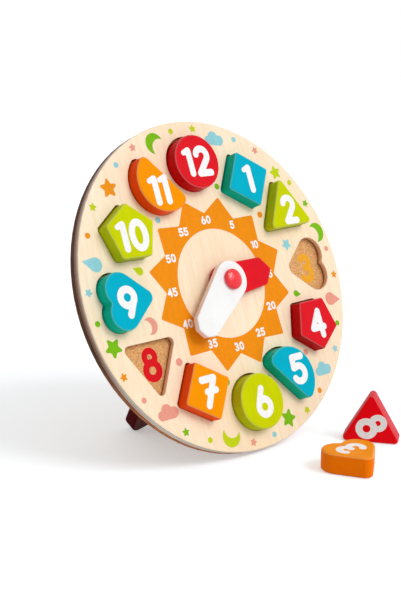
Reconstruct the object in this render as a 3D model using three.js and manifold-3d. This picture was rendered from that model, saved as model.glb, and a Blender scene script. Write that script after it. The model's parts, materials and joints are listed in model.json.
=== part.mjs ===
// A toddler's wooden clock puzzle. A round board leans back on a plug-in stand. Twelve recesses in
// its face, in the places of the hours, each take a block of their own shape, and two hands turn
// on a pin at the centre. Two of the blocks have been lifted out and rest on the floor in front.
//
// Lengths are in millimetres, +Z is up and the face looks along -Y. Pieces that touch keep a small
// gap. In the board's own frame x runs to the right, y up the board and z straight out of its
// face, and its origin is the centre of the face.

import * as THREE from 'three';
import { mergeVertices } from 'three/addons/utils/BufferGeometryUtils.js';
import Module from 'manifold-3d';

const wasm = await Module();
wasm.setup();

// The board: a pierced face glued to a plain back
const ringRadius = 100;
const rimWidth = 40;
const faceThickness = 5.5;
const backThickness = 5.7;
const boardEdgeRadius = 1;
const boardLean = THREE.MathUtils.degToRad(22.5);

// Fits
const seatGap = 0.3;
const recessClearance = 1;
const runningClearance = 0.25;

// The blocks
const blockThickness = 16.7;
const blockEdgeRadius = 1.8;
const discRadius = 23.1;
const squareSide = 36.2;
const squareCornerRadius = 2.2;
const triangleSide = 51.4;
const triangleCornerRadius = 3.2;
const pentagonRadius = 24.4;
const pentagonCornerRadius = 2.2;
const halfRoundRadius = 26.5;
const halfRoundFlatDrop = 4.5;
const halfRoundCornerRadius = 6;
const heartLobeRadius = 13.8;
const heartLobeSpread = 9.3;
const heartLobeRise = 7.6;
const heartTipDrop = 21.2;
const heartTipRadius = 7;
const heartNotchRadius = 2;

// The pin, the hands and the knob
const pinRadius = 3;
const pinChamfer = 0.5;
const handThickness = 5.8;
const handGap = 0.5;
const handEdgeRadius = 1;
const handCornerRadius = 3;
const hourHubRadius = 14.7;
const hourShoulderHalfWidth = 12.2;
const hourShoulderReach = 41.8;
const hourPointLength = 10.1;
const hourHandAngle = THREE.MathUtils.degToRad(86);
const minuteHubRadius = 16.2;
const minuteTipHalfWidth = 11.6;
const minuteTipReach = 58.1;
const minuteTipChamfer = 6.8;
const minuteHandAngle = THREE.MathUtils.degToRad(229);
const knobRadius = 8.6;
const knobHeight = 4.7;
const knobWallHeight = 1.6;
const knobSocketDepth = 2.6;

// The stand: one arched plate on two pegs
const standHalfWidth = 51.8;
const standThickness = 15.4;
const standEdgeRadius = 3;
const standCornerRadius = 5;
const standArchRise = 8.5;
const standSeatDrop = 27.5;
const standLean = THREE.MathUtils.degToRad(28.5);
const pegRadius = 3;
const pegSpread = 28;
const pegSeatDrop = 22;
const pegStandDepth = 10;

// Where the two lifted blocks rest: across from the board's middle and out from its foot
const looseHeartAcross = 24.9;
const looseHeartAhead = 72.2;
const looseHeartAngle = THREE.MathUtils.degToRad(-12.6);
const looseTriangleAcross = 80.8;
const looseTriangleAhead = 42.2;
const looseTriangleAngle = THREE.MathUtils.degToRad(55.6);

// Facets: how far a flat facet may lie inside its arc, and steps in a rounded edge
const facetError = 0.1;
const softEdgeSteps = 3;
const handEdgeSteps = 2;
const cutOverrun = 4;

// Derived sizes
const boardRadius = ringRadius + rimWidth;
const boardThickness = faceThickness + seatGap + backThickness;
const recessDepth = faceThickness + seatGap;
const blockDrop = recessClearance - seatGap;
const hourHandBottom = handGap;
const minuteHandBottom = hourHandBottom + handThickness + handGap;
const knobBottom = minuteHandBottom + handThickness + seatGap;
const pinBottom = -faceThickness;
const pinTop = knobBottom + knobSocketDepth - seatGap;
const handBoreRadius = pinRadius + runningClearance;

// A rounded back edge touches the floor, this far under the centre of the face
const floorDrop = (boardRadius - boardEdgeRadius) * Math.cos(boardLean)
  + (boardThickness - boardEdgeRadius) * Math.sin(boardLean) + boardEdgeRadius;
const boardFootAhead = boardRadius * Math.sin(boardLean);

// Finishes
const wood = { roughness: 0.6, metalness: 0 };
const paint = { roughness: 0.35, metalness: 0 };
const faceFinish = new THREE.MeshStandardMaterial({ color: 0xfce4c0, ...wood });
const backFinish = new THREE.MeshStandardMaterial({ color: 0xdca064, ...wood });
const pinFinish = new THREE.MeshStandardMaterial({ color: 0xd9b384, ...wood });
const redPaint = new THREE.MeshStandardMaterial({ color: 0xe1232d, ...paint });
const tealPaint = new THREE.MeshStandardMaterial({ color: 0x00a5be, ...paint });
const limePaint = new THREE.MeshStandardMaterial({ color: 0xc3cc08, ...paint });
const orangePaint = new THREE.MeshStandardMaterial({ color: 0xfa9108, ...paint });
const whitePaint = new THREE.MeshStandardMaterial({ color: 0xf4f2f0, ...paint });
const maroonPaint = new THREE.MeshStandardMaterial({ color: 0x4b0a10, ...paint, roughness: 0.25 });

// Points of an arc about (x, y), from one angle to the other, both ends included
function arc(x, y, radius, start, end) {
  const widestStep = 2 * Math.acos(Math.max(1 - facetError / radius, 0));
  const steps = Math.max(1, Math.ceil(Math.abs(end - start) / widestStep));
  return Array.from({ length: steps + 1 }, (_, index) => {
    const angle = start + (end - start) * index / steps;
    return new THREE.Vector2(x + radius * Math.cos(angle), y + radius * Math.sin(angle));
  });
}

// A whole circle, without its repeated last point
function circle(radius, x = 0, y = 0) {
  return arc(x, y, radius, 0, 2 * Math.PI).slice(0, -1);
}

// The band drawn tight round some circles, given counterclockwise
function bandRound(circles) {
  const leave = circles.map((from, index) => {
    const to = circles[(index + 1) % circles.length];
    const heading = Math.atan2(to.y - from.y, to.x - from.x);
    const distance = Math.hypot(to.x - from.x, to.y - from.y);
    return heading - Math.acos((from.radius - to.radius) / distance);
  });
  return circles.flatMap((round, index) => {
    const start = leave[(index + circles.length - 1) % circles.length];
    const turn = THREE.MathUtils.euclideanModulo(leave[index] - start, 2 * Math.PI);
    return arc(round.x, round.y, round.radius, start, start + turn);
  });
}

// The outlines below take a growth, which moves the whole outline out by that much
function regularOutline(sides, outerRadius, cornerRadius, growth) {
  const reach = outerRadius - cornerRadius / Math.cos(Math.PI / sides);
  const first = Math.PI / 2 + (sides % 2 === 0 ? Math.PI / sides : 0);
  return bandRound(Array.from({ length: sides }, (_, index) => {
    const angle = first + index * 2 * Math.PI / sides;
    return { x: reach * Math.cos(angle), y: reach * Math.sin(angle), radius: cornerRadius + growth };
  }));
}

function discOutline(growth) {
  return circle(discRadius + growth);
}

function squareOutline(growth) {
  return regularOutline(4, squareSide / Math.SQRT2, squareCornerRadius, growth);
}

function triangleOutline(growth) {
  return regularOutline(3, triangleSide / Math.sqrt(3), triangleCornerRadius, growth);
}

function pentagonOutline(growth) {
  return regularOutline(5, pentagonRadius, pentagonCornerRadius, growth);
}

// A disc with one flat side, below its centre, and soft corners
function halfRoundOutline(growth) {
  const cornerRise = halfRoundCornerRadius - halfRoundFlatDrop;
  const cornerAcross = Math.sqrt((halfRoundRadius - halfRoundCornerRadius) ** 2 - cornerRise ** 2);
  const meet = Math.atan2(cornerRise, cornerAcross);
  const radius = halfRoundCornerRadius + growth;
  return [
    ...arc(cornerAcross, cornerRise, radius, -Math.PI / 2, meet),
    ...arc(0, 0, halfRoundRadius + growth, meet, Math.PI - meet).slice(1, -1),
    ...arc(-cornerAcross, cornerRise, radius, Math.PI - meet, 1.5 * Math.PI),
  ];
}

// Two lobes, a filleted notch between them and straight sides to a soft tip below
function heartOutline(growth) {
  const tipRise = heartTipRadius - heartTipDrop;
  const sideHeading = Math.atan2(heartLobeRise - tipRise, heartLobeSpread);
  const sideLength = Math.hypot(heartLobeRise - tipRise, heartLobeSpread);
  const sideNormal = sideHeading - Math.acos((heartTipRadius - heartLobeRadius) / sideLength);
  const notchReach = Math.sqrt((heartLobeRadius + heartNotchRadius) ** 2 - heartLobeSpread ** 2);
  const notchTurn = Math.atan2(notchReach, -heartLobeSpread);
  const notchRadius = Math.max(heartNotchRadius - growth, facetError);
  const lobe = arc(heartLobeSpread, heartLobeRise, heartLobeRadius + growth, sideNormal, notchTurn);
  const notch = arc(0, heartLobeRise + notchReach, notchRadius, notchTurn - Math.PI, -notchTurn);
  const mirroredLobe = lobe.map((point) => new THREE.Vector2(-point.x, point.y)).reverse();
  const tip = arc(0, tipRise, heartTipRadius + growth, -Math.PI - sideNormal, sideNormal);
  return [...lobe, ...notch.slice(1, -1), ...mirroredLobe, ...tip.slice(1, -1)];
}

// The hour hand: a round hub that narrows to square shoulders and a blunt point
function hourHandOutline() {
  const shoulder = hourShoulderHalfWidth - handCornerRadius;
  return bandRound([
    { x: 0, y: 0, radius: hourHubRadius },
    { x: shoulder, y: hourShoulderReach, radius: handCornerRadius },
    { x: 0, y: hourShoulderReach + hourPointLength - handCornerRadius, radius: handCornerRadius },
    { x: -shoulder, y: hourShoulderReach, radius: handCornerRadius },
  ]);
}

// The minute hand: a round hub that narrows to a straight end with cut corners
function minuteHandOutline() {
  const cornerSetback = handCornerRadius * Math.tan(Math.PI / 8);
  const side = minuteTipHalfWidth - handCornerRadius;
  const sideReach = minuteTipReach - minuteTipChamfer - cornerSetback;
  const end = minuteTipHalfWidth - minuteTipChamfer - cornerSetback;
  const endReach = minuteTipReach - handCornerRadius;
  return bandRound([
    { x: 0, y: 0, radius: minuteHubRadius },
    { x: side, y: sideReach, radius: handCornerRadius },
    { x: end, y: endReach, radius: handCornerRadius },
    { x: -end, y: endReach, radius: handCornerRadius },
    { x: -side, y: sideReach, radius: handCornerRadius },
  ]);
}

// The stand's plate: an arch between two soft feet, and a plain top long enough to be cut
function standOutline(height) {
  const footAcross = standHalfWidth - standCornerRadius;
  const archRadius = (footAcross ** 2 + (standCornerRadius - standArchRise) ** 2
    - standCornerRadius ** 2) / (2 * standArchRise);
  const archDrop = archRadius - standArchRise;
  const meet = Math.atan2(standCornerRadius + archDrop, footAcross);
  return [
    ...arc(0, -archDrop, archRadius, Math.PI - meet, meet),
    ...arc(footAcross, standCornerRadius, standCornerRadius, meet - Math.PI, 0).slice(1),
    ...arc(footAcross, height - standCornerRadius, standCornerRadius, 0, Math.PI / 2),
    ...arc(-footAcross, height - standCornerRadius, standCornerRadius, Math.PI / 2, Math.PI),
    ...arc(-footAcross, standCornerRadius, standCornerRadius, -Math.PI, -meet).slice(0, -1),
  ];
}

// A plate of an outline, from z = 0 up, with both faces' edges rounded
function roundedPlate(outline, thickness, edgeRadius, edgeSteps, holes = []) {
  const shape = new THREE.Shape(outline);
  shape.holes = holes.map((hole) => new THREE.Path(hole));
  const geometry = new THREE.ExtrudeGeometry(shape, {
    depth: thickness - 2 * edgeRadius,
    bevelThickness: edgeRadius,
    bevelSize: edgeRadius,
    bevelOffset: -edgeRadius,
    bevelSegments: edgeSteps,
  });
  return geometry.translate(0, 0, edgeRadius);
}

// A straight-sided prism of an outline, from one height to another, for cutting
function cutter(outline, bottom, top) {
  const shape = new THREE.Shape(outline);
  const geometry = new THREE.ExtrudeGeometry(shape, { depth: top - bottom, bevelEnabled: false });
  return geometry.translate(0, 0, bottom);
}

// A profile of (radius, height) points turned about the z axis
function turned(profile, widestRadius) {
  const segments = circle(widestRadius).length;
  return new THREE.LatheGeometry(profile, segments).rotateX(Math.PI / 2);
}

// A disc of the board from z = 0 up, with its lower or its upper rim rounded
function boardDisc(thickness, roundTop) {
  const inner = boardRadius - boardEdgeRadius;
  const square = new THREE.Vector2(boardRadius, roundTop ? 0 : thickness);
  const soft = roundTop
    ? arc(inner, thickness - boardEdgeRadius, boardEdgeRadius, 0, Math.PI / 2)
    : arc(inner, boardEdgeRadius, boardEdgeRadius, -Math.PI / 2, 0);
  const rim = roundTop ? [square, ...soft] : [...soft, square];
  return turned([new THREE.Vector2(0, 0), ...rim, new THREE.Vector2(0, thickness)], boardRadius);
}

// A dowel from one height to another, with chamfered ends
function dowel(radius, bottom, top) {
  return turned([
    new THREE.Vector2(0, bottom),
    new THREE.Vector2(radius - pinChamfer, bottom),
    new THREE.Vector2(radius, bottom + pinChamfer),
    new THREE.Vector2(radius, top - pinChamfer),
    new THREE.Vector2(radius - pinChamfer, top),
    new THREE.Vector2(0, top),
  ], radius);
}

// The knob: a low wall under a dome, with a socket for the pin
function knobGeometry() {
  const domeRise = knobHeight - knobWallHeight;
  const socketRadius = pinRadius + seatGap;
  const domeSteps = 6;
  const dome = Array.from({ length: domeSteps + 1 }, (_, index) => {
    const angle = index * Math.PI / 2 / domeSteps;
    return new THREE.Vector2(knobRadius * Math.cos(angle), knobWallHeight + domeRise * Math.sin(angle));
  });
  dome[domeSteps].x = 0;
  return turned([
    new THREE.Vector2(0, knobSocketDepth),
    new THREE.Vector2(socketRadius, knobSocketDepth),
    new THREE.Vector2(socketRadius, 0),
    new THREE.Vector2(knobRadius - pinChamfer, 0),
    new THREE.Vector2(knobRadius, pinChamfer),
    ...dome,
  ], knobRadius);
}

// A closed geometry as a solid that can be cut
function toSolid(geometry) {
  const bare = geometry.clone();
  bare.deleteAttribute('normal');
  bare.deleteAttribute('uv');
  const merged = mergeVertices(bare);
  const corners = merged.index.array;
  const triangles = [];
  for (let first = 0; first < corners.length; first += 3) {
    const triangle = [corners[first], corners[first + 1], corners[first + 2]];
    if (new Set(triangle).size === 3) triangles.push(...triangle);
  }
  return new wasm.Manifold(new wasm.Mesh({
    numProp: 3,
    vertProperties: new Float32Array(merged.attributes.position.array),
    triVerts: new Uint32Array(triangles),
  }));
}

// One geometry with others cut out of it
function cutFrom(geometry, cutters) {
  const solid = cutters.reduce((rest, next) => rest.subtract(toSolid(next)), toSolid(geometry));
  const { vertProperties, triVerts } = solid.getMesh();
  const result = new THREE.BufferGeometry();
  result.setAttribute('position', new THREE.BufferAttribute(new Float32Array(vertProperties), 3));
  result.setIndex(new THREE.BufferAttribute(new Uint32Array(triVerts), 1));
  result.computeVertexNormals();
  return result;
}

function addMesh(parent, name, geometry, material) {
  const mesh = new THREE.Mesh(geometry, material);
  mesh.name = name;
  parent.add(mesh);
  return mesh;
}

// The twelve places, clockwise from one o'clock. A place lies at its hour's angle, a little ahead
// or behind, at a share of the ring's radius, and its outline is turned counterclockwise.
const places = [
  { hour: 1, outline: squareOutline, paint: tealPaint, ringShare: 0.969, ahead: 1, turn: -30.6 },
  { hour: 2, outline: triangleOutline, paint: limePaint, ringShare: 1.012, ahead: -1.1, turn: 1.5 },
  { hour: 3, outline: heartOutline, paint: orangePaint, ringShare: 1.024, ahead: -0.9, turn: -89 },
  { hour: 4, outline: pentagonOutline, paint: redPaint, ringShare: 0.983, ahead: 0.2, turn: 181.1 },
  { hour: 5, outline: halfRoundOutline, paint: tealPaint, ringShare: 0.978, ahead: 6.2, turn: -49 },
  { hour: 6, outline: discOutline, paint: limePaint, ringShare: 1.013, ahead: 0, turn: 0 },
  { hour: 7, outline: squareOutline, paint: orangePaint, ringShare: 0.975, ahead: 2.8, turn: -31.9 },
  { hour: 8, outline: triangleOutline, paint: redPaint, ringShare: 1.025, ahead: 1, turn: 180.3 },
  { hour: 9, outline: heartOutline, paint: tealPaint, ringShare: 1.037, ahead: 0.1, turn: 89.5 },
  { hour: 10, outline: pentagonOutline, paint: limePaint, ringShare: 1.003, ahead: 0.6, turn: -0.4 },
  { hour: 11, outline: halfRoundOutline, paint: orangePaint, ringShare: 0.993, ahead: 5, turn: 131 },
  { hour: 12, outline: discOutline, paint: redPaint, ringShare: 1.025, ahead: -1.1, turn: 0 },
];

function placeOnBoard({ hour, ringShare, ahead }) {
  const clockAngle = THREE.MathUtils.degToRad(hour * 30 + ahead);
  const reach = ringShare * ringRadius;
  return new THREE.Vector2(reach * Math.sin(clockAngle), reach * Math.cos(clockAngle));
}

function recessCutter(place) {
  const centre = placeOnBoard(place);
  return cutter(place.outline(recessClearance), -faceThickness - cutOverrun, cutOverrun)
    .rotateZ(THREE.MathUtils.degToRad(place.turn))
    .translate(centre.x, centre.y, 0);
}

function blockGeometry(place) {
  return roundedPlate(place.outline(0), blockThickness, blockEdgeRadius, softEdgeSteps);
}

function blockName(place) {
  return `block_${String(place.hour).padStart(2, '0')}`;
}

// The board's frame, with the floor at z = 0 and the middle of the face straight over the origin
const board = new THREE.Group();
board.position.z = floorDrop;
board.rotation.x = Math.PI / 2 - boardLean;
board.updateMatrix();

function addBoard() {
  const pivotHole = cutter(circle(pinRadius + seatGap), -faceThickness - cutOverrun, cutOverrun);
  const faceDisc = boardDisc(faceThickness, true).translate(0, 0, -faceThickness);
  const face = cutFrom(faceDisc, [...places.map(recessCutter), pivotHole]);
  addMesh(board, 'face_board', face, faceFinish);

  const pegHoles = [-pegSpread, pegSpread].map((across) => cutter(
    circle(pegRadius + seatGap, across, -pegSeatDrop),
    -boardThickness - cutOverrun,
    -recessDepth + cutOverrun,
  ));
  const backDisc = boardDisc(backThickness, false).translate(0, 0, -boardThickness);
  addMesh(board, 'back_board', cutFrom(backDisc, pegHoles), backFinish);
}

// A hand of an outline, bored for the pin
function handGeometry(outline) {
  const bore = circle(handBoreRadius);
  return roundedPlate(outline, handThickness, handEdgeRadius, handEdgeSteps, [bore]);
}

function addHands() {
  addMesh(board, 'pivot_pin', dowel(pinRadius, pinBottom, pinTop), pinFinish);

  const hourHand = addMesh(board, 'hour_hand', handGeometry(hourHandOutline()), redPaint);
  hourHand.position.z = hourHandBottom;
  hourHand.rotation.z = -hourHandAngle;

  const minuteHand = addMesh(board, 'minute_hand', handGeometry(minuteHandOutline()), whitePaint);
  minuteHand.position.z = minuteHandBottom;
  minuteHand.rotation.z = -minuteHandAngle;

  addMesh(board, 'centre_knob', knobGeometry(), redPaint).position.z = knobBottom;
}

// A seated block has dropped in its recess until its lower edge is one gap from the recess wall
function addSeatedBlock(place) {
  const centre = placeOnBoard(place);
  const block = addMesh(board, blockName(place), blockGeometry(place), place.paint);
  block.position.set(centre.x, centre.y - blockDrop, -recessDepth + seatGap);
  block.rotation.z = THREE.MathUtils.degToRad(place.turn);
}

// The lifted heart lies flat on the floor
function addLooseHeart(parent, place) {
  const block = addMesh(parent, blockName(place), blockGeometry(place), place.paint);
  block.position.set(looseHeartAcross, -boardFootAhead - looseHeartAhead, 0);
  block.rotation.z = looseHeartAngle;
}

// The lifted triangle stands on one side, turned to the left, with its point up
function addLooseTriangle(parent, place) {
  const block = addMesh(parent, blockName(place), blockGeometry(place), place.paint);
  const backward = new THREE.Vector2(Math.sin(looseTriangleAngle), Math.cos(looseTriangleAngle));
  block.position.set(
    looseTriangleAcross + blockThickness * backward.x,
    -boardFootAhead - looseTriangleAhead + blockThickness * backward.y,
    triangleSide / (2 * Math.sqrt(3)),
  );
  block.rotation.set(Math.PI / 2, 0, -looseTriangleAngle, 'ZYX');
}

// The stand's plate runs from the floor up to the board's back, where it is cut to lie flat
function addStand(parent) {
  const stand = new THREE.Group();
  const seat = new THREE.Vector3(0, -standSeatDrop, -boardThickness - seatGap).applyMatrix4(board.matrix);
  const footLift = standEdgeRadius * (1 - Math.cos(standLean) - Math.sin(standLean));
  const length = (seat.z - footLift) / Math.cos(standLean);
  stand.position.set(0, seat.y + length * Math.sin(standLean), footLift);
  stand.rotation.x = Math.PI / 2 + standLean;
  stand.updateMatrix();
  parent.add(stand);

  const boardInStand = stand.matrix.clone().invert().multiply(board.matrix);
  const backOverrun = standThickness / Math.tan(boardLean + standLean);
  const outline = standOutline(length + backOverrun + standCornerRadius + cutOverrun);
  const plate = roundedPlate(outline, standThickness, standEdgeRadius, softEdgeSteps)
    .translate(0, 0, -standThickness);
  const boardSide = cutter(circle(boardRadius), -boardThickness - seatGap, boardRadius)
    .applyMatrix4(boardInStand);
  const pegHoles = [-pegSpread, pegSpread].map((across) => cutter(
    circle(pegRadius + seatGap, across, -pegSeatDrop),
    -boardThickness - pegStandDepth - seatGap,
    -boardThickness + cutOverrun,
  ).applyMatrix4(boardInStand));
  addMesh(stand, 'stand_plate', cutFrom(plate, [boardSide, ...pegHoles]), maroonPaint);

  const peg = dowel(pegRadius, -boardThickness - pegStandDepth, -recessDepth);
  addMesh(board, 'stand_peg_left', peg, pinFinish).position.set(-pegSpread, -pegSeatDrop, 0);
  addMesh(board, 'stand_peg_right', peg, pinFinish).position.set(pegSpread, -pegSeatDrop, 0);
}

// The whole toy, with its origin on the floor under the middle of its bounding box
const toy = new THREE.Group();
const looseHour = { heart: 3, triangle: 8 };
toy.add(board);
addBoard();
addHands();
for (const place of places) {
  if (place.hour === looseHour.heart) addLooseHeart(toy, place);
  else if (place.hour === looseHour.triangle) addLooseTriangle(toy, place);
  else addSeatedBlock(place);
}
addStand(toy);

const size = new THREE.Box3().setFromObject(toy, true);
toy.children.forEach((piece) => {
  piece.position.y -= (size.min.y + size.max.y) / 2;
});

export default toy;
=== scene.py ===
"""A toddler's wooden clock puzzle: printed face, painted blocks and hands, and its studio."""

import json
import math

import bpy
import bmesh
from mathutils import Matrix, Vector
from mathutils.geometry import delaunay_2d_cdt


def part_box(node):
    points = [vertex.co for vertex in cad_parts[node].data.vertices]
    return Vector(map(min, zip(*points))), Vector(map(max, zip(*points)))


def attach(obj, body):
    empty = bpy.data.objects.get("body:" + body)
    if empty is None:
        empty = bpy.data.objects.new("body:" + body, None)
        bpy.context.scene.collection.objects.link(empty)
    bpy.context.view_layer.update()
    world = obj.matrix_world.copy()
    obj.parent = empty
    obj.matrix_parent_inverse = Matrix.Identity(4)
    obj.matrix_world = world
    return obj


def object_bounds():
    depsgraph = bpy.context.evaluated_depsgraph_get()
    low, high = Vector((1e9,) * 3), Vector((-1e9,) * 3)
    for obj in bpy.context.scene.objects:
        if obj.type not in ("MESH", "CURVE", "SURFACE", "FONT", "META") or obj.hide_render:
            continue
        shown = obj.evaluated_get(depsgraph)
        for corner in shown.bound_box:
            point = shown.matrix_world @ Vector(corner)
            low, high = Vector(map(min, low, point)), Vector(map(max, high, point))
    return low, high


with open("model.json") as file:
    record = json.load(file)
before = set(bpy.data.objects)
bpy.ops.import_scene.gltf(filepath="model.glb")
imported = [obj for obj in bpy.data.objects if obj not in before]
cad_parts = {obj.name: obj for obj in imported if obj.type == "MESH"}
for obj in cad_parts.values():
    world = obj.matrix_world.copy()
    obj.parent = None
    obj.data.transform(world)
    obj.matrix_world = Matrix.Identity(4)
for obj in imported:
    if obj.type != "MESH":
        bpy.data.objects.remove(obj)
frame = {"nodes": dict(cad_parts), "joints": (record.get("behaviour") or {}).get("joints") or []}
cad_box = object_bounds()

MM = 0.001
TURN = 2 * math.pi

# The board's frame: x to the right, y up the board, z out of the face, from the centre of the face
OUT = Vector(frame["joints"][0]["axis"]).normalized()
RIGHT = Vector((1, 0, 0))
UP = OUT.cross(RIGHT)
LEAN = math.atan2(OUT.z, -OUT.y)


def reach(node, direction):
    """How far a node goes along a direction, as its least and greatest dot product."""
    along = [direction.dot(v.co) for v in frame["nodes"][node].data.vertices]
    return min(along), max(along)


# Heights along OUT and lengths, in metres
FACE_BACK, FACE_HEIGHT = reach("face_board", OUT)
FACE_THICKNESS = FACE_HEIGHT - FACE_BACK
RECESS_FLOOR_HEIGHT = reach("back_board", OUT)[1]
BOARD_RADIUS = reach("face_board", RIGHT)[1]
PIVOT = Vector(frame["joints"][0]["pos_m"])
CENTRE = PIVOT + OUT * (FACE_HEIGHT - OUT.dot(PIVOT))


def plane_at(centre, right, up):
    """The matrix of a drawing plane: millimetres to the right, up and out."""
    out = right.cross(up)
    columns = [right * MM, up * MM, out * MM, centre]
    return Matrix([[c[row] for c in columns] for row in range(3)] + [[0, 0, 0, 1]])


def on_board(x, y, height):
    """The drawing plane parallel to the face with its origin at x, y (mm) and a height (m)."""
    centre = CENTRE + RIGHT * x * MM + UP * y * MM
    return plane_at(centre + OUT * (height - OUT.dot(centre)), RIGHT, UP)


# Flat outlines, in millimetres

def arc_points(x, y, radius, start, end, chord=0.5):
    """Points of an arc, angles in degrees from the right, with both ends."""
    sweep = math.radians(end - start)
    steps = max(2, math.ceil(abs(sweep) * radius / chord)) if radius > 0 else 1
    angles = [math.radians(start) + sweep * i / steps for i in range(steps + 1)]
    return [(x + radius * math.cos(a), y + radius * math.sin(a)) for a in angles]


def disc(x, y, radius):
    return arc_points(x, y, radius, 0, 360, min(1.2, radius / 4))[:-1]


def oval(x, y, across, high):
    return [(x + across * px, y + high * py) for px, py in arc_points(0, 0, 1, 0, 360, 0.13)[:-1]]


def taper(x0, y0, half0, x1, y1, half1):
    """A straight stroke with round ends whose half widths may differ."""
    heading = math.degrees(math.atan2(y1 - y0, x1 - x0))
    lean = math.degrees(math.asin((half0 - half1) / math.hypot(x1 - x0, y1 - y0)))
    return arc_points(x1, y1, half1, heading - 90 + lean, heading + 90 - lean) + \
        arc_points(x0, y0, half0, heading + 90 - lean, heading + 270 + lean)


def bar(x0, y0, x1, y1, half):
    return taper(x0, y0, half, x1, y1, half)


def bow(x, y, radius, start, end, half):
    """A stroke along an arc, counterclockwise from start to end, with round ends."""
    first, last = [(x + radius * math.cos(math.radians(a)), y + radius * math.sin(math.radians(a)))
                   for a in (start, end)]
    return arc_points(x, y, radius + half, start, end) + \
        arc_points(*last, half, end, end + 180)[1:-1] + \
        arc_points(x, y, radius - half, end, start) + \
        arc_points(*first, half, start - 180, start)[1:-1]


def rounded(corners, radius):
    """A closed outline with every corner rounded by the same radius."""
    points = []
    neighbours = zip(corners[-1:] + corners[:-1], corners, corners[1:] + corners[:1])
    for before, corner, after in neighbours:
        here = Vector(corner)
        back, onward = (Vector(before) - here).normalized(), (Vector(after) - here).normalized()
        half = back.angle(onward) / 2
        middle = here + (back + onward).normalized() * (radius / math.sin(half))
        start, end = [here + way * (radius / math.tan(half)) - middle for way in (back, onward)]
        first = math.degrees(math.atan2(start.y, start.x))
        turn = (math.degrees(math.atan2(end.y, end.x)) - first + 180) % 360 - 180
        points += arc_points(middle.x, middle.y, radius, first, first + turn)
    return points


# The figures' measures, in millimetres
HALF_STROKE = 2.95
DIGIT_WIDTH = 18.6
ODD_DIGIT_WIDTHS = {"1": 9.4, "0": 19.2}
DIGIT_GAP = 1.2


def figure_shapes(digit):
    """The strokes of a digit, each as (outline, holes), round its own middle; about 27 mm high."""
    s = HALF_STROKE
    if digit == "0":
        return [(oval(0, 0, 6.3 + s, 10.3 + s), [oval(0, 0, 6.3 - s, 10.3 - s)])]
    if digit == "1":
        return [(bar(1.7, -9.6, 1.7, 9.7, s), []), (taper(-3.4, 8.3, 2.2, 1.7, 9.7, s), [])]
    if digit == "2":
        return [(bow(-0.2, 4.7, 5.7, -38, 165, s), []), (bar(4.3, 1.2, -5.5, -10.2, s), []),
                (bar(-5.5, -10.2, 6.1, -10.2, s), [])]
    if digit == "3":
        return [(bow(-0.4, 5.3, 5.1, -90, 140, s), []), (bow(-0.4, -5, 5.6, -145, 95, s), [])]
    if digit == "4":
        return [(bar(3.4, 10.4, -6.4, -3.6, s), []), (bar(-6.4, -3.6, 6.9, -3.6, s), []),
                (bar(3.4, 10.4, 3.9, -10.5, s), [])]
    if digit == "5":
        return [(bar(5.8, 10.2, -4.6, 10.2, s), []), (bar(-4.6, 10.2, -5.2, 1.4, s), []),
                (bow(-0.3, -4, 6.5, -150, 118, s), [])]
    if digit == "6":
        return [(disc(0, -4.6, 6.3 + s), [disc(0, -4.6, 6.3 - s)]),
                (bar(0.4, 10.4, -5.9, -2.6, s), [])]
    if digit == "7":
        return [(bar(-6, 10.2, 6, 10.2, s), []), (bar(6, 10.2, -4.6, -10.3, s), []),
                (bar(-3.2, 0.4, 6, 0.4, s * 0.9), [])]
    if digit == "8":
        return [(disc(0, 5.9, 7.6), [disc(0, 5.9, 2.3)]),
                (disc(0, -4.9, 9.2), [disc(0, -4.9, 3.3)])]
    if digit == "9":
        return [(disc(0, 4.2, 6.3 + s), [disc(0, 4.2, 6.3 - s)]),
                (bar(-0.4, -9.5, 5.9, 2.4, s), [])]
    raise ValueError(digit)


def moved(shapes, x, y, scale=1.0, degrees=0.0):
    """Shapes scaled, turned counterclockwise and moved."""
    c, s = math.cos(math.radians(degrees)) * scale, math.sin(math.radians(degrees)) * scale

    def put(points):
        return [(x + px * c - py * s, y + px * s + py * c) for px, py in points]
    return [(put(outline), [put(hole) for hole in holes]) for outline, holes in shapes]


def number_shapes(number):
    """The digits of a number side by side, round their common middle."""
    widths = [ODD_DIGIT_WIDTHS.get(digit, DIGIT_WIDTH) for digit in number]
    at = -(sum(widths) + DIGIT_GAP * (len(number) - 1)) / 2
    shapes = []
    for digit, width in zip(number, widths):
        shapes += moved(figure_shapes(digit), at + width / 2, 0)
        at += width + DIGIT_GAP
    return shapes


# How delaunay_2d_cdt works: what it keeps, how near points merge, and whether it names the sources
ONLY_INSIDE, MERGE_DISTANCE, WITH_SOURCES = 1, 1e-5, True


def union(shapes):
    """Overlapping flat shapes as one set of triangles: points and corner numbers."""
    points, faces, rules = [], [], []
    for outline, holes in shapes:
        ids = []
        for loop in [outline, *holes]:
            area = sum(a[0] * b[1] - b[0] * a[1] for a, b in zip(loop, loop[1:] + loop[:1]))
            ordered = loop if area > 0 else loop[::-1]
            ids.append(len(faces))
            faces.append(list(range(len(points), len(points) + len(ordered))))
            points += [Vector(p) for p in ordered]
        rules.append((ids[0], set(ids[1:])))
    made, _, triangles, _, _, origins = delaunay_2d_cdt(
        points, [], faces, ONLY_INSIDE, MERGE_DISTANCE, WITH_SOURCES)
    kept = [corners for corners, sources in zip(triangles, origins)
            if any(outer in sources and not holes & set(sources) for outer, holes in rules)]
    return made, kept


# Thicknesses of the prints, in millimetres
FIGURE_INK = 0.08
FACE_INK = 0.05


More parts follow.
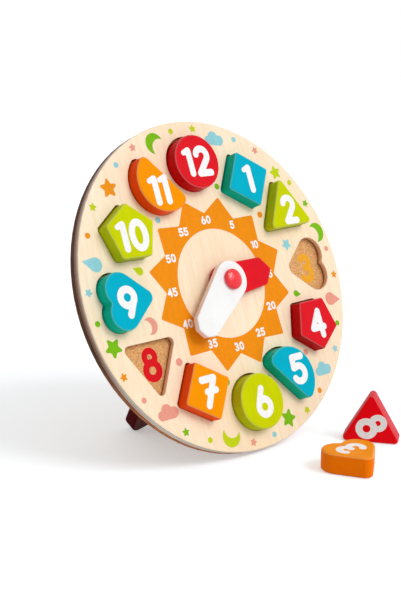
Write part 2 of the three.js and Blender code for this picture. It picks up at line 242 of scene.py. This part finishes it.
def print_piece(name, body, shapes, plane, material, thickness):
    """A flat print: the union of its shapes as a thin closed layer on a drawing plane."""
    points, triangles = union(shapes)
    mesh = bmesh.new()
    corners = [mesh.verts.new((p.x, p.y, 0)) for p in points]
    flat = [mesh.faces.new([corners[i] for i in t]) for t in triangles]
    raised = bmesh.ops.extrude_face_region(mesh, geom=flat)["geom"]
    top = [v for v in raised if isinstance(v, bmesh.types.BMVert)]
    bmesh.ops.translate(mesh, verts=top, vec=(0, 0, thickness))
    loose = [v for v in mesh.verts if not v.link_faces]
    bmesh.ops.delete(mesh, geom=loose, context="VERTS")
    bmesh.ops.transform(mesh, matrix=plane, verts=mesh.verts)
    bmesh.ops.recalc_face_normals(mesh, faces=mesh.faces)
    data = bpy.data.meshes.new(name)
    mesh.to_mesh(data)
    mesh.free()
    data.materials.append(material)
    piece = bpy.data.objects.new(name, data)
    bpy.context.scene.collection.objects.link(piece)
    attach(piece, body)


# Materials

def srgb(red, green, blue):
    """A colour written as 0 to 255, as linear light."""
    def linear(value):
        value /= 255
        return value / 12.92 if value <= 0.04045 else ((value + 0.055) / 1.055) ** 2.4
    return (linear(red), linear(green), linear(blue), 1)


def feed(tree, node, socket, value):
    """Gives an input a value, or another node's output."""
    if isinstance(value, bpy.types.NodeSocket):
        tree.links.new(value, node.inputs[socket])
    else:
        node.inputs[socket].default_value = value


def add_node(tree, kind, inputs=None, **settings):
    """A new node with its settings, such as its operation, and its inputs."""
    made = tree.nodes.new("ShaderNode" + kind)
    for key, value in settings.items():
        setattr(made, key, value)
    for socket, value in (inputs or {}).items():
        feed(tree, made, socket, value)
    return made


class Finish:
    """A material and the nodes that shape it. Texture scales are per metre."""

    def __init__(self, name, roughness=0.5, specular=0.5, coat=0.0, coat_roughness=0.1):
        self.material = bpy.data.materials.new(name)
        self.material.use_nodes = True
        self.tree = self.material.node_tree
        self.shader = self.tree.nodes["Principled BSDF"]
        self.shade("Roughness", roughness)
        self.shade("Specular IOR Level", specular)
        self.shade("Coat Weight", coat)
        self.shade("Coat Roughness", coat_roughness)

    def shade(self, socket, value):
        feed(self.tree, self.shader, socket, value)

    def node(self, kind, inputs=None, **settings):
        return add_node(self.tree, kind, inputs, **settings)

    def value(self, operation, a, b=0.0, c=0.0, clamp=False):
        return self.node("Math", {0: a, 1: b, 2: c},
                         operation=operation, use_clamp=clamp).outputs[0]

    def coordinates(self):
        """Places in the board's frame, in metres."""
        here = self.node("TexCoord").outputs["Object"]
        turn = (math.pi / 2 - LEAN, 0, 0)
        return self.node("Mapping", {"Vector": here, "Location": CENTRE, "Rotation": turn},
                         vector_type="TEXTURE").outputs[0]

    def parts(self, vector):
        """The x, y and z of a vector."""
        return self.node("SeparateXYZ", {0: vector}).outputs

    def stretched(self, vector, scale):
        return self.node("Mapping", {"Vector": vector, "Scale": scale}).outputs[0]

    def noise(self, vector, scale, detail=4.0, roughness=0.55, distortion=0.0):
        return self.node("TexNoise", {"Vector": vector, "Scale": scale, "Detail": detail,
                                      "Roughness": roughness, "Distortion": distortion}).outputs[0]

    def ramp(self, factor, *stops):
        """A value or colour that follows stops of (place, value)."""
        made = self.node("ValToRGB", {"Fac": factor})
        elements = made.color_ramp.elements
        while len(elements) < len(stops):
            elements.new(0.5)
        for element, (place, value) in zip(elements, stops):
            element.position = place
            element.color = value if isinstance(value, tuple) else (value, value, value, 1)
        return made.outputs[0]

    def mix(self, factor, a, b, blend="MIX"):
        """A colour mixed with another one. Sockets: 0 is the factor, 6 and 7 are the colours."""
        return self.node("Mix", {0: factor, 6: a, 7: b},
                         data_type="RGBA", blend_type=blend).outputs[2]

    def dim(self, share, colour, by):
        """A colour multiplied by another one, by a share."""
        return self.mix(share, colour, by, "MULTIPLY")

    def facing(self, axis, low, high):
        """0 to 1 as the cosine between the surface's normal and an axis goes from low to high."""
        normal = self.node("TexCoord").outputs["Normal"]
        cosine = self.node("VectorMath", {0: normal, 1: axis},
                           operation="DOT_PRODUCT").outputs["Value"]
        return self.node("MapRange", {"Value": cosine, "From Min": low, "From Max": high}).outputs[0]

    def stain(self, vector, darkest):
        """A factor for painted shade on the board's sawn edge: 1 round its foot, and lower from
        there up.
        """
        rise = self.value("MULTIPLY_ADD", self.parts(vector)[1], 1 / (2 * BOARD_RADIUS), 0.5)
        uneven = self.value("MULTIPLY_ADD", self.noise(vector, scale=12.0, detail=2), 0.12, rise)
        return self.ramp(uneven, (0.2, 1.0), (0.42, darkest))

    def from_axis(self, vector):
        """How far a point lies from the z axis."""
        x, y, _ = self.parts(vector)
        squares = self.value("ADD", self.value("MULTIPLY", x, x), self.value("MULTIPLY", y, y))
        return self.value("SQRT", squares)

    def bump(self, height, strength, distance):
        made = self.node("Bump", {"Strength": strength, "Distance": distance, "Height": height})
        self.shade("Normal", made.outputs[0])


VENEER_GRAIN = (60, 7, 60)  # long along the board's y
PLY_PITCH = 2.8 * MM  # one pale and one dark ply


def plywood_face():
    """Pale birch veneer with long grain on the face; its cut edges show the plies."""
    f = Finish("birch_face", coat=0.25, coat_roughness=0.25)
    at = f.coordinates()
    z = f.parts(at)[2]
    long_grain = f.noise(f.stretched(at, VENEER_GRAIN), scale=4.0, detail=5, roughness=0.6,
                         distortion=0.6)
    fibres = f.noise(f.stretched(at, (900, 26, 300)), scale=1.6, detail=3, roughness=0.6)
    cloudy = f.ramp(f.noise(at, scale=9.0, detail=2),
                    (0.35, srgb(253, 241, 226)), (0.65, srgb(255, 255, 253)))
    veneer = f.ramp(long_grain, (0.3, srgb(249, 224, 190)), (0.5, srgb(253, 231, 200)),
                    (0.7, srgb(255, 238, 211)))
    veneer = f.dim(0.25, veneer, f.ramp(fibres, (0.3, 0.86), (0.55, 1.0)))
    veneer = f.dim(0.5, veneer, cloudy)
    # A recess's wall, down from the face: a pale mouth as a painted highlight, tan plies that darken
    # with depth as painted shade, and a dark line at the foot
    depth = f.value("MULTIPLY", z, -1 / FACE_THICKNESS)
    wall = f.ramp(depth, (0.04, srgb(248, 226, 200)), (0.2, srgb(246, 208, 172)),
                  (0.6, srgb(236, 182, 140)), (0.92, srgb(130, 66, 36)))
    # The rim: grey cream plies round the foot, and browner from there up and towards the back, as
    # painted shade
    layers = f.value("SINE", f.value("MULTIPLY", z, TURN / PLY_PITCH))
    unshaded_plies = f.ramp(f.value("MULTIPLY_ADD", layers, 0.5, 0.5),
                   (0.35, srgb(206, 188, 168)), (0.65, srgb(238, 226, 210)))
    shaded_rim = f.ramp(depth, (0.1, srgb(236, 212, 186)), (0.3, srgb(185, 154, 132)),
                    (0.55, srgb(160, 120, 94)), (0.8, srgb(124, 72, 42)))
    rim = f.mix(f.stain(at, 0.0), shaded_rim, unshaded_plies)
    outside = f.ramp(f.value("MULTIPLY", f.from_axis(at), 1 / BOARD_RADIUS),
                     (0.94, 0.0), (0.96, 1.0))
    saw_marks = f.noise(f.stretched(at, (300, 300, 1500)), scale=1.0)
    cut = f.dim(0.35, f.mix(outside, wall, rim), f.ramp(saw_marks, (0.35, 0.72), (0.6, 1.0)))
    f.shade("Base Color", f.mix(f.facing(OUT, 0.6, 0.8), cut, veneer))
    f.shade("Roughness", f.ramp(fibres, (0.3, 0.5), (0.7, 0.38)))
    f.bump(fibres, strength=0.12, distance=0.0003)
    return f.material


def fibre_back():
    """Speckled orange-brown fibreboard; its sawn edge is reddish brown, darkened from the foot up by
    painted shade.
    """
    f = Finish("fibre_back", roughness=0.7, specular=0.2)
    at = f.coordinates()
    speck = f.noise(at, scale=900.0, detail=3, roughness=0.7)
    blotch = f.noise(at, scale=220.0, detail=3, roughness=0.6)
    board = f.ramp(speck, (0.32, srgb(184, 118, 66)), (0.5, srgb(226, 168, 106)),
                   (0.68, srgb(246, 200, 142)))
    board = f.dim(0.5, board, f.ramp(blotch, (0.35, 0.78), (0.6, 1.0)))
    streak = f.noise(f.stretched(at, (120, 120, 900)), scale=1.0)
    edge = f.ramp(streak, (0.35, srgb(162, 92, 54)), (0.65, srgb(208, 136, 90)))
    # Painted shade: the edge darker from the board's foot up
    edge = f.dim(1.0, edge, f.stain(at, 0.2))
    flat = f.value("ADD", f.facing(OUT, 0.6, 0.8), f.facing(-OUT, 0.6, 0.8), clamp=True)
    f.shade("Base Color", f.mix(flat, edge, board))
    f.bump(speck, strength=0.25, distance=0.0002)
    return f.material


# How far the painted edge highlight goes towards white
EDGE_HIGHLIGHT_TOWARDS_WHITE = 0.55


def paint(name, top, side, axis, gloss=0.28, shine=0.03, grain_share=0.25):
    """Sprayed paint over wood: even on the faces, with painted shade on the sides and a painted
    highlight along the edges.
    """
    f = Finish(name, specular=shine)
    at = f.coordinates()
    mottle = f.noise(at, scale=60.0, detail=3)
    peel = f.noise(at, scale=1400.0, detail=2)
    grain = f.noise(f.stretched(at, (500, 22, 500)), scale=1.2, detail=3, roughness=0.6)
    # The sides take the deeper side colour, which is painted shade
    colour = f.mix(f.facing(axis, 0.55, 0.9), srgb(*side), srgb(*top))
    # A paler band where the rounded edges turn from face to side: a painted highlight
    edge = f.ramp(f.facing(axis, 0, 1), (0.2, 0.0), (0.55, 0.3), (0.75, 0.34), (0.97, 0.0))
    colour = f.mix(edge, colour, srgb(*[part + (255 - part) * EDGE_HIGHLIGHT_TOWARDS_WHITE for part in top]))
    colour = f.dim(0.35, colour, f.ramp(mottle, (0.35, 0.86), (0.65, 1.0)))
    colour = f.dim(grain_share, colour, f.ramp(grain, (0.3, 0.82), (0.6, 1.0)))
    f.shade("Base Color", colour)
    f.shade("Roughness", f.ramp(mottle, (0.3, gloss + 0.06), (0.7, gloss)))
    f.bump(f.value("MULTIPLY_ADD", grain, 0.6, peel), strength=0.08, distance=0.0002)
    return f.material


def gloss_red():
    """The knob's thick glossy paint, with a broad soft highlight."""
    f = Finish("knob_red", specular=0.7)
    at = f.coordinates()
    colour = f.ramp(f.noise(at, scale=90.0, detail=2),
                    (0.35, srgb(244, 8, 32)), (0.65, srgb(252, 14, 40)))
    f.shade("Base Color", colour)
    f.shade("Roughness", f.ramp(f.noise(at, scale=300.0, detail=2), (0.3, 0.2), (0.7, 0.25)))
    f.bump(f.noise(at, scale=700.0, detail=2), strength=0.05, distance=0.0002)
    return f.material


def ink(name, colour, roughness=0.45):
    """Screen-printed ink, slightly uneven."""
    f = Finish(name, roughness, specular=0.06)
    at = f.coordinates()
    speckle = f.ramp(f.noise(at, scale=400.0, detail=3), (0.3, 0.93), (0.6, 1.0))
    streak = f.ramp(f.noise(f.stretched(at, VENEER_GRAIN), scale=4.0), (0.3, 0.95), (0.6, 1.0))
    f.shade("Base Color", f.dim(1.0, f.dim(1.0, srgb(*colour), speckle), streak))
    f.bump(f.noise(at, scale=1200.0, detail=2), strength=0.05, distance=0.0001)
    return f.material


def dowel_wood():
    """Plain beech."""
    f = Finish("beech_dowel", roughness=0.55)
    grain = f.noise(f.stretched(f.coordinates(), (900, 900, 60)), scale=1.0)
    f.shade("Base Color", f.ramp(grain, (0.3, srgb(196, 152, 104)), (0.7, srgb(228, 192, 148))))
    f.bump(grain, strength=0.1, distance=0.0002)
    return f.material


# Each tone's colour on the printed face, and a deeper one on the sides that is painted shade
PAINTS = {
    "red": ((228, 28, 40), (196, 10, 14)),
    "teal": ((0, 178, 204), (0, 180, 152)),
    "lime": ((206, 214, 0), (186, 198, 12)),
    "orange": ((255, 152, 0), (242, 74, 8)),
}
BLOCKS = {1: "teal", 2: "lime", 3: "orange", 4: "red", 5: "teal", 6: "lime",
          7: "orange", 8: "red", 9: "teal", 10: "lime", 11: "orange", 12: "red"}
# The loose blocks' sides and the triangle's face are brighter than on the seated blocks, which is
# painted light where less lamp light reaches; the triangle's pink sides are a painted sheen
LOOSE_PAINTS = {3: ((255, 152, 0), (255, 124, 0)), 8: ((250, 10, 24), (222, 50, 60))}
TRIANGLE_TURN = math.radians(55.6)  # the standing block's face looks this far round to the left
SHARP_ANGLE = math.radians(50)


def dress(node, material):
    """Gives a CAD node its material and shades its rounded edges smooth between its flat faces."""
    thing = frame["nodes"][node]
    thing.data.materials.clear()
    thing.data.materials.append(material)
    for polygon in thing.data.polygons:
        polygon.use_smooth = True
    thing.data.set_sharp_from_angle(angle=SHARP_ANGLE)
    smooth = thing.modifiers.new("smooth_edges", "WEIGHTED_NORMAL")
    smooth.keep_sharp = True
    smooth.weight = 100


def block_axis(hour):
    """The direction that a block's printed face looks."""
    if hour == 3:
        return Vector((0, 0, 1))
    if hour == 8:
        return Vector((-math.sin(TRIANGLE_TURN), -math.cos(TRIANGLE_TURN), 0))
    return OUT


dress("face_board", plywood_face())
dress("back_board", fibre_back())
dress("pivot_pin", dowel_wood())
dress("stand_peg_left", dowel_wood())
dress("stand_peg_right", dowel_wood())
dress("centre_knob", gloss_red())
dress("hour_hand", paint("hand_red", (228, 14, 32), (200, 10, 24), OUT, gloss=0.22, shine=0.09))
dress("minute_hand", paint("hand_white", (250, 249, 248), (250, 222, 212), OUT, gloss=0.25,
                           shine=0.09, grain_share=0.08))
dress("stand_plate", paint("stand_maroon", (92, 6, 8), (88, 6, 8), OUT, gloss=0.24, shine=0.04))
for hour, tone in BLOCKS.items():
    top, side = LOOSE_PAINTS.get(hour, PAINTS[tone])
    dress(f"block_{hour:02d}", paint(f"block_{hour:02d}_{tone}", top, side, block_axis(hour)))

# The figures: the middle of each on its block's face, in the board's frame
FIGURES = {1: (49.7, 82), 2: (87.4, 51.1), 4: (84.5, -51.5), 5: (48.2, -84.7), 6: (0.3, -102.5),
           7: (-51.2, -83.6), 9: (-107.1, -2.5), 10: (-86.3, 47.9), 11: (-48.9, 81.1),
           12: (-1.8, 101.5)}
WHITE = ink("figure_white", (252, 251, 250), roughness=0.35)
for hour, (x, y) in FIGURES.items():
    block = f"block_{hour:02d}"
    plane = on_board(x, y, reach(block, OUT)[1])
    print_piece(f"figure_{hour:02d}", block, number_shapes(str(hour)), plane, WHITE, FIGURE_INK)


def loose_plane(hour, across, up, degrees):
    """The drawing plane of a loose block's face, moved (mm) from its box's middle and turned."""
    low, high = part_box(f"block_{hour:02d}")
    axis = block_axis(hour)
    middle = (low + high) / 2
    middle += axis * (reach(f"block_{hour:02d}", axis)[1] - axis.dot(middle))
    stands = abs(axis.z) < 0.5
    side = Vector((0, 0, 1)).cross(axis).normalized() if stands else RIGHT
    rise = axis.cross(side)
    turn = Matrix.Rotation(math.radians(degrees), 3, axis)
    return plane_at(middle + side * across * MM + rise * up * MM, turn @ side, turn @ rise)


print_piece("figure_03", "block_03", number_shapes("3"), loose_plane(3, -1.6, 2.3, 83), WHITE,
            FIGURE_INK)
print_piece("figure_08", "block_08", number_shapes("8"), loose_plane(8, 0.9, -6.0, -60), WHITE,
            FIGURE_INK)

# Each recess floor has its number too, in the colour of its block
FLOOR_TONES = {"red": (224, 22, 32), "teal": (0, 150, 170), "lime": (160, 176, 14),
               "orange": (246, 172, 44)}
FLOOR_FIGURES = FIGURES | {3: (106, -0.6), 8: (-88.2, -51.5)}
for tone, rgb in FLOOR_TONES.items():
    shapes = []
    for hour, (x, y) in FLOOR_FIGURES.items():
        if BLOCKS[hour] == tone:
            shapes += moved(number_shapes(str(hour)), x, y)
    print_piece(f"floor_figures_{tone}", "board", shapes, on_board(0, 0, RECESS_FLOOR_HEIGHT),
                ink(f"floor_{tone}", rgb, roughness=0.6), FIGURE_INK)


# The printed face: a plain sun round the centre, and simple shapes between the hours

def star(points, outer, inner, soft):
    """A star with soft corners and a point up."""
    corners = [(outer if i % 2 == 0 else inner, math.pi * i / points) for i in range(2 * points)]
    return rounded([(r * math.sin(a), r * math.cos(a)) for r, a in corners], soft)


def crescent(size):
    """A moon open to the right: a round outside and a flatter inside between the same two tips."""
    tip_x, tip_y, middle = 0.5 * size, 0.866 * size, 0.75 * size
    inside = math.hypot(tip_x - middle, tip_y)
    first = math.degrees(math.atan2(tip_y, tip_x - middle))
    return arc_points(0, 0, size, 60, 300) + arc_points(middle, 0, inside, 360 - first, first)[1:-1]


def cloud(size):
    """Three puffs on a flat foot."""
    puffs = [(-0.62, -0.08, 0.38), (-0.12, 0.22, 0.5), (0.52, 0, 0.42)]
    return [(bar(-0.62 * size, -0.26 * size, 0.56 * size, -0.26 * size, 0.2 * size), []),
            *[(disc(x * size, y * size, r * size), []) for x, y, r in puffs]]


def drop(size):
    """A drop with its point up."""
    return arc_points(0, -size * 0.3, size * 0.62, 150, 390) + [(0, size)]


def motif_shapes(kind, size):
    if kind == "star":
        return [(star(5, size, size * 0.48, size * 0.12), [])]
    if kind == "moon":
        return [(crescent(size), [])]
    if kind == "cloud":
        return cloud(size)
    if kind == "drop":
        return [(drop(size), [])]
    return [(disc(0, 0, size), [])]


def on_ring(clock_angle, radius):
    a = math.radians(clock_angle)
    return radius * math.sin(a), radius * math.cos(a)


# The sun's rays point between the hours, and its band carries the minutes
SUN_HOLE, SUN_VALLEY, SUN_TIP, SUN_SOFTNESS = 46.3, 60, 74.5, 1.6
MINUTES_RADIUS, MINUTES_SCALE = 54.2, 0.27
rays = star(12, SUN_TIP, SUN_VALLEY, SUN_SOFTNESS)
sun_shape = moved([(rays, [disc(0, 0, SUN_HOLE)])], 0, 0, 1, 15)
print_piece("print_sun", "board", sun_shape, on_board(0, 0, FACE_HEIGHT),
            ink("print_orange", (246, 146, 12)), FACE_INK)
minutes = []
for hour in range(1, 13):
    x, y = on_ring(30 * hour, MINUTES_RADIUS)
    minutes += moved(number_shapes(str(5 * hour)), x, y, MINUTES_SCALE)
print_piece("print_minutes", "board", minutes, on_board(0, 0, FACE_HEIGHT + FACE_INK * MM), WHITE,
            FACE_INK)

# A sky of small shapes between the hours: clock angle, radius, kind, size, turn and tone
MOTIFS = [
    (15, 126, "cloud", 10.5, -8, "sky"), (47, 128.2, "star", 7.6, 10, "lime"),
    (77, 128.2, "moon", 8.8, 200, "green"), (105, 127, "drop", 9.5, -100, "coral"),
    (136, 127, "cloud", 10, 0, "sky"), (165, 127, "star", 9.5, -20, "green"),
    (195, 127, "moon", 9, 70, "lime"), (224, 127, "cloud", 10.5, 0, "coral"),
    (255, 127.5, "star", 9.5, 30, "green"), (285, 127, "drop", 9.5, 70, "sky"),
    (315, 127, "star", 9.5, 0, "orange"), (345, 127, "moon", 9, -40, "green"),
    # and, where the recesses leave room, round the sun
    (15, 84, "spot", 2.6, 0, "green"), (50, 81, "spot", 2.8, 0, "orange"),
    (75, 87, "star", 6.5, 30, "sky"), (105, 84, "drop", 4.6, -105, "green"),
    (135, 103, "spot", 2.6, 0, "coral"), (165, 88, "spot", 2.4, 0, "sky"),
    (196, 83, "spot", 3, 0, "green"), (230, 85.5, "spot", 3.2, 0, "coral"),
    (255, 87, "moon", 7, 190, "coral"), (285, 85, "drop", 5.4, 60, "lime"),
    (320, 77.6, "spot", 2.6, 0, "sky"), (345, 84, "spot", 2.6, 0, "coral"),
]
# Round the rim, a little star before each of the larger shapes and a spot after it
RIM_TONES = ["green", "orange", "sky", "lime", "coral"]
for place in range(12):
    MOTIFS.append((30 * place + 24.5, 132.5, "spot", 2.4, 0, RIM_TONES[(place + 2) % 5]))
    MOTIFS.append((30 * place + 5, 133.2, "star", 4.2, 20 * place, RIM_TONES[(place + 3) % 5]))
TONES = {"green": (126, 190, 20), "lime": (198, 214, 20), "sky": (150, 212, 220),
         "coral": (240, 160, 140), "orange": (244, 150, 24)}
for tone, rgb in TONES.items():
    shapes = []
    for angle, radius, kind, size, turn, chosen in MOTIFS:
        if chosen == tone:
            shapes += moved(motif_shapes(kind, size), *on_ring(angle, radius), 1, turn)
    print_piece(f"print_{tone}", "board", shapes, on_board(0, 0, FACE_HEIGHT),
                ink(f"ink_{tone}", rgb), FACE_INK)


# The studio: floor, white surround, a soft lamp and the camera

FLOOR_REACH = 6.0
FLOOR_DROP = 0.2 * MM  # below the object's lowest point
FLOOR_COLOUR = (0.87, 0.915, 0.95, 1)
FLOOR_GLOW = 0.35  # for the camera alone: the open floor is white, and its shadow stays
WHITE_LIGHT = (1, 1, 1, 1)
SKY_LEVEL, SKY_SLOPE = 0.6, 0.35
KEY_FROM, KEY_SPREAD, KEY_POWER = (0.3, -0.8, 0.8), 30, 1.32

CAMERA_PLACE = Vector((-0.61384, -0.66331, 0.19839))  # from the centre of the face
CAMERA_YAW, CAMERA_PITCH = math.radians(41.63), math.radians(-13.29)
SENSOR_WIDTH, FOCAL_LENGTH = 36, 66.99  # in millimetres
NEAREST_SEEN = 0.05


def stage_floor():
    """White paper under the object."""
    far = FLOOR_REACH
    corners = [(-far, -far, 0), (far, -far, 0), (far, far, 0), (-far, far, 0)]
    data = bpy.data.meshes.new("floor")
    data.from_pydata(corners, [], [(0, 1, 2, 3)])
    floor = bpy.data.objects.new("floor", data)
    floor.location.z = cad_box[0].z - FLOOR_DROP
    bpy.context.scene.collection.objects.link(floor)
    f = Finish("floor_paper", roughness=0.9)
    f.shade("Base Color", FLOOR_COLOUR)
    f.shade("Emission Color", WHITE_LIGHT)
    seen = f.node("LightPath").outputs["Is Camera Ray"]
    f.shade("Emission Strength", f.value("MULTIPLY", seen, FLOOR_GLOW))
    data.materials.append(f.material)


def surround(level, slope):
    """White when seen or reflected, and otherwise a soft light that is stronger from the right."""
    world = bpy.data.worlds.new("studio")
    bpy.context.scene.world = world
    world.use_nodes = True
    tree = world.node_tree
    rays = add_node(tree, "LightPath").outputs
    seen = rays["Is Camera Ray"]
    for other in ("Is Glossy Ray", "Is Transmission Ray"):
        seen = add_node(tree, "Math", {0: seen, 1: rays[other]}, operation="MAXIMUM").outputs[0]
    place = add_node(tree, "TexCoord").outputs["Generated"]
    sideways = add_node(tree, "SeparateXYZ", {0: place}).outputs["X"]
    soft = add_node(tree, "MapRange", {"Value": sideways, "From Min": -1.0,
                                       "To Min": level * (1 - slope), "To Max": level * (1 + slope)})
    strength = add_node(tree, "MapRange", {"Value": seen, "To Min": soft.outputs[0], "To Max": 1.0})
    back = tree.nodes["Background"]
    feed(tree, back, "Strength", strength.outputs[0])
    feed(tree, back, "Color", WHITE_LIGHT)


def sun(name, toward, spread, power):
    """A soft distant lamp that shines from a direction; its spread is in degrees."""
    data = bpy.data.lights.new(name, "SUN")
    data.angle = math.radians(spread)
    data.energy = power
    thing = bpy.data.objects.new(name, data)
    thing.rotation_mode = "QUATERNION"
    thing.rotation_quaternion = (-Vector(toward)).to_track_quat("-Z", "Y")
    bpy.context.scene.collection.objects.link(thing)


def camera():
    """The photograph's view, fitted to the board's rim and its recesses."""
    data = bpy.data.cameras.new("camera")
    data.sensor_width = SENSOR_WIDTH
    data.lens = FOCAL_LENGTH
    data.clip_start = NEAREST_SEEN
    thing = bpy.data.objects.new("camera", data)
    thing.location = CENTRE + CAMERA_PLACE
    level = math.cos(CAMERA_PITCH)
    ahead = Vector((math.sin(CAMERA_YAW) * level, math.cos(CAMERA_YAW) * level,
                    math.sin(CAMERA_PITCH)))
    thing.rotation_mode = "QUATERNION"
    thing.rotation_quaternion = ahead.to_track_quat("-Z", "Y")
    bpy.context.scene.collection.objects.link(thing)
    bpy.context.scene.camera = thing


stage_floor()
surround(SKY_LEVEL, SKY_SLOPE)
sun("key", KEY_FROM, KEY_SPREAD, KEY_POWER)
camera()
bpy.context.scene.view_settings.view_transform = "Standard"
